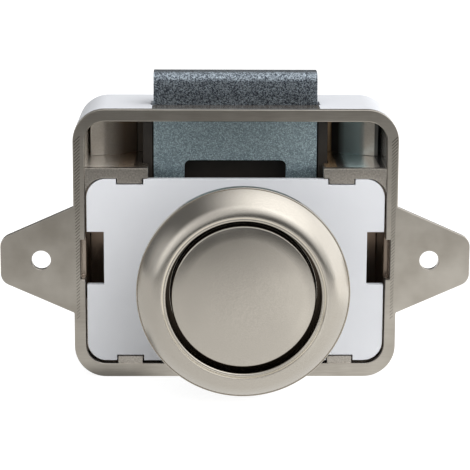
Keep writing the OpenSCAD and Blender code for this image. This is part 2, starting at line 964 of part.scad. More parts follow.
frame();
back_cover();
front_plate();
guide_sleeve();
rosette();
bolt_guide();
guide_screws();
guide_rod(-1);  // guide_rod_left
guide_rod(1);  // guide_rod_right
bolt_spring(-1);  // bolt_spring_left
bolt_spring(1);  // bolt_spring_right
button_spring();
follower_pin();
button_cap();
plunger();
button_screw();
bolt();
carrier(-1);  // carrier_left
carrier(1);  // carrier_right
cam_pin(-1);  // cam_pin_left
cam_pin(1);  // cam_pin_right
rivets();
follower_lever();
follower_tip_pin();
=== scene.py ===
"""Push button cabinet lock, seen from outside the door that it would be screwed to.

The CAD model's frame is kept: X to the right, Y into the cabinet, Z up. Every CAD piece is
shown by a copy with eased edges, or by a turned or wound piece that has the same sizes.
Lengths are millimetres until they go into a mesh or a socket. The table and the lamps are in
metres.
"""
import math

import bmesh
import bpy
from mathutils import Matrix, Vector


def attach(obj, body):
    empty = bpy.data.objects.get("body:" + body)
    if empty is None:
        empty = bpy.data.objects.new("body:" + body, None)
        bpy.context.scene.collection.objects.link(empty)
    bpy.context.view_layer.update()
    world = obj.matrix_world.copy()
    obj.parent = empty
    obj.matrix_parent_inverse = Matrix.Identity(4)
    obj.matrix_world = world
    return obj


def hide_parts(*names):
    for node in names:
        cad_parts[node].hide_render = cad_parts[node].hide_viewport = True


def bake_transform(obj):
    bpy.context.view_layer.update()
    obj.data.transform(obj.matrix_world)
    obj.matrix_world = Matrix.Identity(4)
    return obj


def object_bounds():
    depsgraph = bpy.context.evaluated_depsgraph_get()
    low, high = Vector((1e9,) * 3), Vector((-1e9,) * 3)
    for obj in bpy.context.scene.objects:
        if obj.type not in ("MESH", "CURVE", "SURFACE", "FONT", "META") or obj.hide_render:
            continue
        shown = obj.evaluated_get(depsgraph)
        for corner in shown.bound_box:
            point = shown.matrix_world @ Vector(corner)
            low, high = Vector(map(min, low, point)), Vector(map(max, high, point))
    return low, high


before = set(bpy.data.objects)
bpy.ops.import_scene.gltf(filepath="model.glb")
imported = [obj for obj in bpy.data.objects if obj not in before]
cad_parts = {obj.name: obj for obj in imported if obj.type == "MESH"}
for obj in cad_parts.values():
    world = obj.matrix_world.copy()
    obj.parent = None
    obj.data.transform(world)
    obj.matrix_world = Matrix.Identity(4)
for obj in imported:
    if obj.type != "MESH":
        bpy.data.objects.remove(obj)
cad_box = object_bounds()

MM = 0.001

# The knob's axis, and the outer face of the door that the ring rests on
KNOB_X = 1.0
KNOB_Z = -1.7
DOOR_OUT = -16.0

# The button: radii, and heights towards the viewer. The dome's fall is given as shares of the
# radius and of the dome's height
BUTTON_R = 12.15
BUTTON_FACE = 20.7
BUTTON_DOME = 0.1
DOME_FALL = ((0.35, 0.12), (0.6, 0.36), (0.8, 0.64))
BUTTON_WALL = 2.6
BUTTON_EASE = 0.4
HEAD_BACK = 17.4
SKIRT_R = 11.35
SKIRT_WALL = 1.15
SKIRT_END = 4.0
SKIRT_EASE = 0.15
STEM_R = 4.5
STEM_END = 12.0
PILOT_R = 1.22
PILOT_END = 17.5

# The ring's back: the spigot, and the hollow between it and the rim
SPIGOT_BORE = 12.35
SPIGOT_R = 12.9
SPIGOT_L = 3.7
SPIGOT_EASE = 0.1
HOLLOW_DEPTH = 2.9
HOLLOW_INSET = 1.2
RIM_WALL = 1.4

# The ring's front: rises are heights above the door, and slopes are degrees off the axis
ROSETTE_R = 18.0
RIM_FOOT_EASE = 0.12
RIM_EASE = 0.1
RIM_SIDE = 0.6
RIM_INSET = 0.2
RIM_SEAM = (0.04, 0.07)
SLOPE_FOOT = 23
SLOPE_TOP = 40
SLOPE_STEPS = 28
CROWN_R = 13.85
CROWN_RISE = 5.9
CREST_R = 2.7
GROOVE_R = 0.15
GROOVE_FOOT = 0.17
GROOVE_DEPTH = 0.2
LIP_BORE = 13.0
LIP_RISE = 5.55
LIP_TOP = DOOR_OUT - LIP_RISE
LIP_STEP = 1.2
BEAD_R = 0.3

# Eased copies: the gap that is welded, and degrees between faces that are one or whose edge is eased
WELD = 0.004
LEVEL_ANGLE = 0.5
EASED_ANGLE = 35

# The springs: where they stand, and their mean radius, wire, turns and length at rest
ROD_X = 18.0
ROD_Y = 4.35
ROD_FOOT = -17.3
BOLT_SPRING = {"radius": 1.75, "wire": 0.5, "turns": 12, "length": 16.1}
BUTTON_SPRING_FOOT = 5.5
BUTTON_SPRING = {"radius": 2.8, "wire": 0.6, "turns": 8, "length": 13.0}

# The milling marks on the side rails
MARK_X = 27.75
MARK_TOP = 21.6
MARK_SINK = 0.01
MARK_SIZE = (1.45, 0.03, 0.17)
MARK_STEP = 0.58
MARKS_IN_ROW = 56
LAST_MARK = 0.5
MARK_SLANT = -45

# Where a finish, a painted reflection, a painted shade or a painted highlight changes, by depth,
# height, or distance from the middle: start and end of a stretch, or middle and half width of a line
GROUND_TO_CAST = (0.1, 0.25)
CAST_TO_WALL = (1.0, 2.2)
RAIL_TO_EAR = (26.0, 29.0)
LEFT_TO_RIGHT = (0.0, 1.0)
# These stretches place the painted reflections and painted shade on the pocket walls
POCKET_ENDS = (17.85, 17.95)
GOLDEN_FROM = (15.6, 16.0)
POCKET_TOP = (23.7, 23.9)
BLACK_TO = (19.0, 20.2)
BROWN_TO = (20.0, 22.5)
BLUE_TO = (22.6, 23.8)
OUTER_WALL = (25.3, 25.5)
TUB_SIDE = (26.55, 26.65)
SHELF_FOOT = (14.0, 14.4)
# Where the bolt's nose starts, which is given painted shade
NOSE_FOOT = (25.0, 25.8)
BORE_SHADE = (LIP_TOP + 0.25, LIP_TOP + 0.6)
BORE_LINE = (LIP_BORE - 0.3, 0.31)
# The bead's line carries a painted highlight as well as its polish
BEAD_LINE = (LIP_BORE + 0.56, 0.13)

# The camera: its angles in degrees, the point it aims at and its distance, then the picture's
# width and the focal length in the photograph's pixels
CAMERA_DOWN = 11.755
CAMERA_YAW = 1.09
CAMERA_ROLL = 0.268
CAMERA_AIM = (-0.105, 0, 4.587)
CAMERA_AWAY = 346.17
PICTURE_PIXELS = 470
FOCAL_PIXELS = 1967
FILM_WIDTH = 36

# The table, at the foot of the part: how bright metal mirrors it, as a painted reflection from left
# to right, with a painted pool of light behind and painted shade far ahead
TABLE_Z = cad_box[0][2]
TABLE_REACH = 3.0
TABLE_LEFT = 0.6
TABLE_RIGHT = 0.84
TABLE_TURN = (-0.06, 0.05)
TABLE_POOL = 0.35
POOL_FROM = (0.05, 0.13)
TABLE_FAR = 0.07
FAR_TO = (-0.31, -0.1)
# Ovals of painted shadow and light on it: middle, reach, and the share of its brightness that the middle
# has
TABLE_PAINTED_SPOTS = (
    ((-0.006, -0.19, 0), (0.04, 0.075, 1), 0.18),
    ((-0.023, -0.001, 0), (0.014, 0.008, 1), 0.35),
    ((-0.04, -0.22, 0), (0.05, 0.09, 1), 0.5),
    ((0.02, -0.12, 0), (0.013, 0.09, 1), 1.45),
)

# The air: strengths, how far round they reach, and ovals of directions as middle, reach and strength
ROOM_DARK = 0.14
ROOM_FRONT = 0.48
FRONT_TO = (-0.6, -0.05)
SIDE_BRIGHT = 1.1
SIDE_FROM = (0.1, 0.7)
SIDE_BEHIND = (-0.7, 0.0)
TOP_LIGHT = ((0.5, 0.05, 0.8), (1.1, 1.25, 1.0), 1.35)
LEFT_LIGHT = ((-0.95, -0.05, 0.25), (0.45, 0.7, 0.5), 0.4)
CORNER_LIGHT = ((-0.7, -0.68, 0.3), (0.45, 0.5, 0.45), 0.4)
LOW_FRONT = ((0.2, -0.97, 0.05), (0.55, 0.4, 0.45), 0.15)

# Lamps: name, place, side of the square and watts
LAMPS = (
    ("key_lamp", (0.6, -0.1, 0.6), 1.0, 2.7),
    ("fill_lamp", (0.5, -0.7, 0.42), 0.8, 2.3),
    ("top_lamp", (0.0, 0.15, 0.9), 0.8, 1.3),
)


def add_node(tree, kind, sockets=None, **settings):
    """A node with its settings, its constants and the sockets that feed it"""
    made = tree.nodes.new(kind)
    for key, value in settings.items():
        setattr(made, key, value)
    for key, value in (sockets or {}).items():
        if isinstance(value, bpy.types.NodeSocket):
            tree.links.new(value, made.inputs[key])
        else:
            made.inputs[key].default_value = value
    return made


def new_finish(name, metallic, roughness):
    """A material with its tree, its shader and the object coordinates"""
    material = bpy.data.materials.new(name)
    material.use_nodes = True
    tree = material.node_tree
    shader = tree.nodes["Principled BSDF"]
    shader.inputs["Metallic"].default_value = metallic
    shader.inputs["Roughness"].default_value = roughness
    place = add_node(tree, "ShaderNodeTexCoord").outputs["Object"]
    return material, tree, shader, place


def along(tree, place, axis):
    """One coordinate of a place"""
    return add_node(tree, "ShaderNodeSeparateXYZ", {0: place}).outputs[axis]


def maths(tree, kind, *values):
    return add_node(tree, "ShaderNodeMath", dict(enumerate(values)), operation=kind).outputs[0]


def times(tree, first, second):
    return maths(tree, "MULTIPLY", first, second)


def vector_maths(tree, kind, *values):
    made = add_node(tree, "ShaderNodeVectorMath", dict(enumerate(values)), operation=kind)
    return made.outputs["Value" if kind == "LENGTH" else 0]


def noise(tree, place, grain_mm, detail=2.0):
    """Noise whose grains are about so many millimetres wide"""
    sockets = {"Vector": place, "Scale": 1 / (grain_mm * MM), "Detail": detail}
    return add_node(tree, "ShaderNodeTexNoise", sockets).outputs["Fac"]


def spread(tree, value, low, high, to_low, to_high):
    """A value moved from one range to another, and held inside it"""
    sockets = {"Value": value, "From Min": low, "From Max": high, "To Min": to_low, "To Max": to_high}
    return add_node(tree, "ShaderNodeMapRange", sockets).outputs["Result"]


def soft_step(tree, value, low, high, to_low, to_high):
    """As spread, but easing in and out"""
    result = spread(tree, value, low, high, to_low, to_high)
    result.node.interpolation_type = "SMOOTHSTEP"
    return result


def change(tree, value, stretch, before, after):
    """One value before a stretch of millimetres and another past it"""
    start, end = stretch
    return spread(tree, value, start * MM, end * MM, before, after)


def beyond(tree, value, stretch):
    return change(tree, value, stretch, 0.0, 1.0)


def short_of(tree, value, stretch):
    return change(tree, value, stretch, 1.0, 0.0)


def near(tree, value, line):
    """1 within a line of (middle, half width) in millimetres and 0 outside it"""
    middle, half = line
    return maths(tree, "COMPARE", value, middle * MM, half * MM)


def blend_colours(tree, share, first, second):
    sockets = {0: share, 6: first, 7: second}
    return add_node(tree, "ShaderNodeMix", sockets, data_type="RGBA").outputs[2]


def mottled(tree, grain, low, high, first, second):
    """Two colours, mixed by a grain between a low and a high value"""
    return blend_colours(tree, spread(tree, grain, low, high, 0, 1), first, second)


def bumps(tree, shader, height, depth_mm):
    sockets = {"Height": height, "Distance": depth_mm * MM, "Strength": 1.0}
    made = add_node(tree, "ShaderNodeBump", sockets)
    tree.links.new(made.outputs["Normal"], shader.inputs["Normal"])


def off_knob_axis(tree, place):
    """Distance from the axis of the knob"""
    off = vector_maths(tree, "SUBTRACT", place, (KNOB_X * MM, 0, KNOB_Z * MM))
    flat = vector_maths(tree, "MULTIPLY", off, (1, 0, 1))
    return vector_maths(tree, "LENGTH", flat)


def satin_nickel():
    """Satin plating on turned pieces, with a polished bead whose near-white colour is a painted highlight,
    and painted shade in the bore inside it
    """
    material, tree, shader, place = new_finish("satin_nickel_turned", 1.0, 0.3)
    grain = noise(tree, place, 0.12, 3.0)
    cloud = noise(tree, place, 6.0)
    out = off_knob_axis(tree, place)
    bead = near(tree, out, BEAD_LINE)
    # Painted shade: the bore wall behind the lip is coloured near black
    bore = times(tree, beyond(tree, along(tree, place, "Y"), BORE_SHADE), near(tree, out, BORE_LINE))
    colour = mottled(tree, grain, 0.3, 0.7, (0.59, 0.555, 0.50, 1), (0.71, 0.67, 0.61, 1))
    # Painted highlight: the bead's near-white colour stands for the light it catches; its lower roughness
    # is real polish
    colour = blend_colours(tree, bead, colour, (0.92, 0.89, 0.83, 1))
    colour = blend_colours(tree, bore, colour, (0.05, 0.04, 0.03, 1))
    tree.links.new(colour, shader.inputs["Base Color"])
    satin = spread(tree, cloud, 0.3, 0.7, 0.2, 0.25)
    polish = spread(tree, bead, 0, 1, 1, 0.5)
    tree.links.new(times(tree, satin, polish), shader.inputs["Roughness"])
    bumps(tree, shader, grain, 0.003)
    return material


def ground_face(tree, place, aside):
    """The outer face: streaks where the rails were ground, and only clouds on the ears"""
    streaks = noise(tree, vector_maths(tree, "MULTIPLY", place, (0.07, 1, 1)), 0.3, 3.0)
    clouds = noise(tree, place, 7.0, 3.0)
    streaked = change(tree, aside, RAIL_TO_EAR, 0.45, 0.06)
    worn = add_node(tree, "ShaderNodeMix", {0: streaked, 2: clouds, 3: streaks}).outputs[0]
    return mottled(tree, worn, 0.3, 0.7, (0.47, 0.435, 0.385, 1), (0.66, 0.625, 0.57, 1))


def pocket_walls(tree, place, aside, pocket, pits):
    """Smooth inner walls, with painted reflections of a room as brown, black, blue-grey and gold bands, and
    painted shade at the wall's ends and below the shelf
    """
    x = along(tree, place, "X")
    z = along(tree, place, "Z")
    right = beyond(tree, x, LEFT_TO_RIGHT)
    # Painted shade and painted reflection: the end wall by the bolt is dark, with a gold band on the right
    golden = times(tree, beyond(tree, x, GOLDEN_FROM), short_of(tree, z, POCKET_TOP))
    end_wall_shade_and_reflection = blend_colours(tree, golden, (0.12, 0.10, 0.08, 1), (0.5, 0.34, 0.2, 1))
    # Painted shade: the inside of the casting below the shelf is coloured dark brown
    shaded_below_shelf = times(tree, pocket, short_of(tree, z, SHELF_FOOT))
    # Painted reflections of a room, and painted shade, laid on as bands of colour by place
    bands = (
        (times(tree, pocket, short_of(tree, aside, BROWN_TO)), (0.46, 0.36, 0.27, 1)),
        (times(tree, right, short_of(tree, aside, BLUE_TO)), (0.80, 0.98, 1.0, 1)),
        (times(tree, right, short_of(tree, x, BLACK_TO)), (0.12, 0.11, 0.10, 1)),
        (times(tree, right, beyond(tree, aside, OUTER_WALL)), (0.16, 0.155, 0.15, 1)),
        (times(tree, pocket, short_of(tree, aside, POCKET_ENDS)), end_wall_shade_and_reflection),
        (times(tree, shaded_below_shelf, change(tree, aside, TUB_SIDE, 1.0, 0.6)), (0.42, 0.31, 0.23, 1)),
    )
    wall = mottled(tree, pits, 0.35, 0.65, (0.78, 0.73, 0.66, 1), (0.88, 0.83, 0.76, 1))
    for band, colour in bands:
        wall = blend_colours(tree, band, wall, colour)
    return wall


def cast_nickel():
    """The casting: ground on its outer face, pitted on the shelves' fronts, smooth in the pockets, which
    carry painted reflections and painted shade
    """
    material, tree, shader, place = new_finish("satin_nickel_cast", 1.0, 0.35)
    depth = along(tree, place, "Y")
    aside = maths(tree, "ABSOLUTE", along(tree, place, "X"))
    inside = beyond(tree, depth, GROUND_TO_CAST)
    pocket = beyond(tree, depth, CAST_TO_WALL)
    pits = noise(tree, place, 0.3, 4.0)
    cast = mottled(tree, pits, 0.35, 0.65, (0.45, 0.42, 0.38, 1), (0.64, 0.60, 0.55, 1))
    colour = blend_colours(tree, inside, ground_face(tree, place, aside), cast)
    # The pocket walls carry painted reflections and painted shade
    colour = blend_colours(tree, pocket, colour, pocket_walls(tree, place, aside, pocket, pits))
    tree.links.new(colour, shader.inputs["Base Color"])
    tree.links.new(spread(tree, pocket, 0, 1, 1.0, 0.45), shader.inputs["Metallic"])
    tree.links.new(spread(tree, pocket, 0, 1, 0.28, 0.2), shader.inputs["Roughness"])
    rough = times(tree, inside, change(tree, depth, CAST_TO_WALL, 1.0, 0.12))
    bumps(tree, shader, times(tree, pits, rough), 0.035)
    return material


def zinc_spangle():
    """Bluish zinc on sheet steel, with a salt and pepper spangle, and painted shade making the folded nose
    darker
    """
    material, tree, shader, place = new_finish("zinc_spangle", 0.9, 0.3)
    sockets = {"Vector": place, "Scale": 1 / (0.16 * MM)}
    cells = add_node(tree, "ShaderNodeTexVoronoi", sockets).outputs["Color"]
    pick = add_node(tree, "ShaderNodeSeparateColor", {0: cells}).outputs[0]
    specks = maths(tree, "POWER", pick, 1.6)
    flat = blend_colours(tree, specks, (0.31, 0.425, 0.50, 1), (0.77, 0.95, 1.0, 1))
    # Painted shade: the nose, angled back above the cover, gets darker colours
    nose_painted_shade = blend_colours(tree, specks, (0.05, 0.06, 0.08, 1), (0.56, 0.65, 0.73, 1))
    nose = beyond(tree, along(tree, place, "Z"), NOSE_FOOT)
    tree.links.new(blend_colours(tree, nose, flat, nose_painted_shade), shader.inputs["Base Color"])
    bumps(tree, shader, pick, 0.012)
    return material


def milled_nickel():
    """Dull nickel for the fine milling marks, which stand a hair proud of the rails"""
    material, tree, shader, place = new_finish("milled_marks", 1.0, 0.45)
    colour = blend_colours(tree, noise(tree, place, 0.3), (0.15, 0.135, 0.115, 1), (0.29, 0.27, 0.24, 1))
    tree.links.new(colour, shader.inputs["Base Color"])
    return material


def white_plastic():
    material, tree, shader, place = new_finish("white_moulding", 0.0, 0.38)
    colour = blend_colours(tree, noise(tree, place, 5.0), (0.77, 0.79, 0.84, 1), (0.81, 0.83, 0.875, 1))
    tree.links.new(colour, shader.inputs["Base Color"])
    bumps(tree, shader, noise(tree, place, 0.25), 0.004)
    return material


def black_plastic():
    material, tree, shader, place = new_finish("black_moulding", 0.0, 0.45)
    colour = blend_colours(tree, noise(tree, place, 2.5), (0.022, 0.018, 0.015, 1), (0.04, 0.033, 0.027, 1))
    tree.links.new(colour, shader.inputs["Base Color"])
    bumps(tree, shader, noise(tree, place, 0.2), 0.01)
    return material


def bright_steel():
    material, tree, shader, place = new_finish("bright_steel", 1.0, 0.22)
    colour = blend_colours(tree, noise(tree, place, 0.3), (0.6, 0.6, 0.61, 1), (0.75, 0.75, 0.76, 1))
    tree.links.new(colour, shader.inputs["Base Color"])
    bumps(tree, shader, noise(tree, place, 0.1), 0.002)
    return material


# Each finish: its material, and the record's slot that it shows
FINISHES = {
    "turned": (satin_nickel(), "satin_nickel"),
    "cast": (cast_nickel(), "satin_nickel"),
    "milled": (milled_nickel(), "satin_nickel"),
    "zinc": (zinc_spangle(), "zinc_plate"),
    "white": (white_plastic(), "white_plastic"),
    "black": (black_plastic(), "black_plastic"),
    "steel": (bright_steel(), "steel"),
}


def coat(piece, finish):
    """Gives a piece the material of its finish"""
    material, slot = FINISHES[finish]
    piece.data.materials.clear()
    piece.data.materials.append(material)


def put_in_place(piece, body, finish, node):
    """Gives a finished piece its body and its material, and hides the CAD node that it stands for"""
    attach(piece, body)
    coat(piece, finish)
    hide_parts(node)


def new_piece(name, mesh):
    piece = bpy.data.objects.new(name, mesh)
    bpy.context.scene.collection.objects.link(piece)
    return piece


def smooth(mesh, angle):
    """Smooth faces, with an edge left sharp where it turns by more than the angle"""
    for face in mesh.polygons:
        face.use_smooth = True
    mesh.set_sharp_from_angle(angle=math.radians(angle))


def shaped(name, shape, angle):
    """A new piece from a closed bmesh, its faces turned outwards and smooth"""
    bmesh.ops.recalc_face_normals(shape, faces=shape.faces)
    mesh = bpy.data.meshes.new(name)
    shape.to_mesh(mesh)
    shape.free()
    smooth(mesh, angle)
    return new_piece(name, mesh)


def baked(piece):
    """The piece with its modifiers worked into its mesh"""
    graph = bpy.context.evaluated_depsgraph_get()
    mesh = bpy.data.meshes.new_from_object(piece.evaluated_get(graph), depsgraph=graph)
    piece.modifiers.clear()
    piece.data = mesh
    return piece


def eased_copy(node, name, width):
    """A copy of a CAD node whose loose triangles are joined and whose edges are rounded off"""
    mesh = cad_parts[node].data.copy()
    shape = bmesh.new()
    shape.from_mesh(mesh)
    level = math.radians(LEVEL_ANGLE)
    bmesh.ops.remove_doubles(shape, verts=shape.verts, dist=WELD * MM)
    bmesh.ops.dissolve_limit(shape, angle_limit=level, verts=shape.verts, edges=shape.edges)
    shape.to_mesh(mesh)
    shape.free()
    piece = new_piece(name, mesh)
    bevel = piece.modifiers.new("Eased edges", "BEVEL")
    bevel.width = width * MM
    bevel.segments = 2
    bevel.limit_method = "ANGLE"
    bevel.angle_limit = math.radians(EASED_ANGLE)
    bevel.use_clamp_overlap = False
    smooth(mesh, 180)
    even = piece.modifiers.new("Even flats", "WEIGHTED_NORMAL")
    even.keep_sharp = True
    return baked(piece)


def turned(name, section, steps=256):
    """A closed section of (radius, height towards the viewer), turned on the knob's axis"""
    shape = bmesh.new()
    rings = []
    for radius, height in section:
        y = -height * MM
        if radius == 0:
            rings.append([shape.verts.new((KNOB_X * MM, y, KNOB_Z * MM))])
            continue
        ring = []
        for i in range(steps):
            a = 2 * math.pi * i / steps
            x = KNOB_X + radius * math.cos(a)
            z = KNOB_Z + radius * math.sin(a)
            ring.append(shape.verts.new((x * MM, y, z * MM)))
        rings.append(ring)
    for a, b in zip(rings, rings[1:] + rings[:1]):
        if len(a) == 1 and len(b) == 1:
            continue
        for i in range(steps):
            k = (i + 1) % steps
            corners = [a[i % len(a)], a[k % len(a)], b[k % len(b)], b[i % len(b)]]
            # A corner on the axis comes twice, and the face is then a triangle
            shape.faces.new(list(dict.fromkeys(corners)))
    return shaped(name, shape, 35)


def arc(x, y, radius, start, end, steps):
    """Points of an arc about (x, y), from one angle to another in degrees"""
    points = []
    for i in range(steps + 1):
        a = math.radians(start + (end - start) * i / steps)
        points.append((x + radius * math.cos(a), y + radius * math.sin(a)))
    return points


def rounded(corners, steps=4):
    """A closed outline of (x, y, fillet radius) corners, with the fillets drawn"""
    points = []
    count = len(corners)
    for i, (x, y, r) in enumerate(corners):
        here = Vector((x, y))
        if not r:
            points.append((x, y))
            continue
        to_last = (Vector(corners[i - 1][:2]) - here).normalized()
        to_next = (Vector(corners[(i + 1) % count][:2]) - here).normalized()
        half = to_last.angle(to_next) / 2
        reach = r / math.tan(half)
        centre = here + (to_last + to_next).normalized() * (r / math.sin(half))
        start = here + to_last * reach - centre
        end = here + to_next * reach - centre
        sweep = start.angle_signed(end)
        for k in range(steps + 1):
            spot = centre + Matrix.Rotation(-sweep * k / steps, 2) @ start
            points.append((spot.x, spot.y))
    return points


def ring_back():
    """The spigot, and the hollow between it and the rim"""
    base = -DOOR_OUT
    hollow_in = SPIGOT_R + HOLLOW_INSET
    hollow_out = ROSETTE_R - RIM_WALL
    return [
        (SPIGOT_BORE, base - SPIGOT_L),
        (SPIGOT_R - SPIGOT_EASE, base - SPIGOT_L),
        (SPIGOT_R, base - SPIGOT_L + SPIGOT_EASE),
        (SPIGOT_R, base),
        (hollow_in, base),
        (hollow_in, base + HOLLOW_DEPTH),
        (hollow_out, base + HOLLOW_DEPTH),
        (hollow_out, base),
    ]


def ring_slope(r, height):
    """The slope from the crest down to the rim, steeper and steeper"""
    step = (ROSETTE_R - RIM_INSET - r) / SLOPE_STEPS
    points = []
    for i in range(SLOPE_STEPS):
        tilt = SLOPE_TOP + (SLOPE_FOOT - SLOPE_TOP) * (i + 0.5) / SLOPE_STEPS
        r += step
        height -= step / math.tan(math.radians(tilt))
        points.append((r, height))
    return points


def ring_front():
    """Rim, slope, broad crest, groove, bead and bore"""
    base = -DOOR_OUT
    crest_foot = base + CROWN_RISE - CREST_R
    crest = arc(CROWN_R, crest_foot, CREST_R, SLOPE_TOP, 90, 16)
    slope = ring_slope(*crest[0])
    r, height = slope[-1]
    points = [(ROSETTE_R - RIM_FOOT_EASE, base), (ROSETTE_R, base + RIM_FOOT_EASE)]
    points.append((ROSETTE_R, height - RIM_SIDE))
    points += arc(ROSETTE_R - RIM_EASE, height - RIM_EASE, RIM_EASE, 0, 110, 4)
    points.append((r + RIM_SEAM[0], height - RIM_SEAM[1]))
    points += reversed(slope)
    points += crest
    points += arc(CROWN_R, base + CROWN_RISE - GROOVE_R, GROOVE_R, 90, 180, 6)[1:]
    points.append((CROWN_R - GROOVE_FOOT, base + LIP_RISE - GROOVE_DEPTH))
    points += arc(LIP_BORE + BEAD_R, base + LIP_RISE - BEAD_R, BEAD_R, 30, 180, 12)
    points += [(LIP_BORE, base + LIP_STEP), (SPIGOT_BORE, base + LIP_STEP)]
    return points


def button_section():
    """Domed face, head, skirt, and the stem with its pilot hole"""
    hollow = BUTTON_FACE - BUTTON_WALL
    face = [(0, BUTTON_FACE, 0)]
    for share, fall in DOME_FALL:
        face.append((share * BUTTON_R, BUTTON_FACE - fall * BUTTON_DOME, 0))
    return rounded(face + [
        (BUTTON_R, BUTTON_FACE - BUTTON_DOME, BUTTON_EASE),
        (BUTTON_R, HEAD_BACK, SKIRT_EASE),
        (SKIRT_R, HEAD_BACK, 0),
        (SKIRT_R, SKIRT_END, SKIRT_EASE),
        (SKIRT_R - SKIRT_WALL, SKIRT_END, SKIRT_EASE),
        (SKIRT_R - SKIRT_WALL, hollow, 2 * SKIRT_EASE),
        (STEM_R, hollow, 0),
        (STEM_R, STEM_END, 0),
        (PILOT_R, STEM_END, 0),
        (PILOT_R, PILOT_END, 0),
        (0, PILOT_END, 0),
    ])


def helix(name, foot, axis, radius, wire, turns, length, end_turns=1.25, sides=10, per_turn=28):
    """A round wire wound round an axis from foot, the turns at both ends closed up"""
    axis = Vector(axis)
    side = Vector((1, 0, 0))
    other = axis.cross(side)
    foot = Vector(foot)
    count = turns * per_turn
    pitch = (length - wire * (1 + 2 * end_turns)) / (turns - 2 * end_turns)

    def rise(turn):
        closed = min(turn, end_turns) + max(0.0, turn - (turns - end_turns))
        wide = max(0.0, min(turn, turns - end_turns) - end_turns)
        return wire / 2 + closed * wire + wide * pitch

    shape = bmesh.new()
    rings = []
    for i in range(count + 1):
        turn = turns * i / count
        a = 2 * math.pi * turn
        radial = side * math.cos(a) + other * math.sin(a)
        centre = foot + axis * rise(turn) + radial * radius
        ring = []
        for k in range(sides):
            b = 2 * math.pi * k / sides
            spot = centre + (radial * math.cos(b) + axis * math.sin(b)) * wire / 2
            ring.append(shape.verts.new(spot * MM))
        rings.append(ring)
    for a, b in zip(rings, rings[1:]):
        for k in range(sides):
            m = (k + 1) % sides
            shape.faces.new((a[k], a[m], b[m], b[k]))
    shape.faces.new(list(reversed(rings[0])))
    shape.faces.new(rings[-1])
    return shaped(name, shape, 60)


# CAD nodes shown by an eased copy: piece, body, width of the eased edge, finish
COPIES = {
    "frame": ("frame_casting", "case", 0.14, "cast"),
    "back_cover": ("back_cover_shell", "case", 0.08, "white"),
    "front_plate": ("front_plate_panel", "case", 0.08, "white"),
    "guide_sleeve": ("guide_sleeve_tube", "case", 0.05, "black"),
    "bolt_guide": ("bolt_guide_channel", "case", 0.1, "black"),
    "guide_screws": ("guide_screw_pair", "case", 0.06, "steel"),
    "guide_rod_left": ("guide_rod_left_bar", "case", 0.1, "steel"),
    "guide_rod_right": ("guide_rod_right_bar", "case", 0.1, "steel"),
    "follower_pin": ("follower_pin_headed", "case", 0.06, "steel"),
    "plunger": ("plunger_block", "button", 0.08, "black"),
    "button_screw": ("button_screw_cross", "button", 0.06, "steel"),
    "bolt": ("bolt_sheet", "bolt", 0.1, "zinc"),
    "carrier_left": ("carrier_left_block", "bolt", 0.1, "black"),
    "carrier_right": ("carrier_right_block", "bolt", 0.1, "black"),
    "cam_pin_left": ("cam_pin_left_dowel", "bolt", 0.1, "steel"),
    "cam_pin_right": ("cam_pin_right_dowel", "bolt", 0.1, "steel"),
    "rivets": ("rivet_pair", "bolt", 0.06, "steel"),
    "follower_lever": ("follower_lever_arm", "follower", 0.08, "steel"),
    "follower_tip_pin": ("follower_tip_dowel", "follower", 0.06, "steel"),
}
for node, (name, body, width, finish) in COPIES.items():
    put_in_place(eased_copy(node, name, width), body, finish, node)

put_in_place(turned("rosette_ring", ring_back() + ring_front()), "case", "turned", "rosette")
put_in_place(turned("button_head", button_section()), "button", "turned", "button_cap")


def wound_spring(node, foot, axis, sizes):
    """A wound spring from its foot along an axis, standing in for a CAD node, which it hides"""
    spring = helix(node + "_wound", foot, axis, **sizes)
    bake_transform(spring)
    coat(spring, "steel")
    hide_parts(node)


for node, side in (("bolt_spring_left", -1), ("bolt_spring_right", 1)):
    wound_spring(node, (side * ROD_X, ROD_Y, ROD_FOOT), (0, 0, 1), BOLT_SPRING)
foot = (KNOB_X, BUTTON_SPRING_FOOT, KNOB_Z)
wound_spring("button_spring", foot, (0, 1, 0), BUTTON_SPRING)


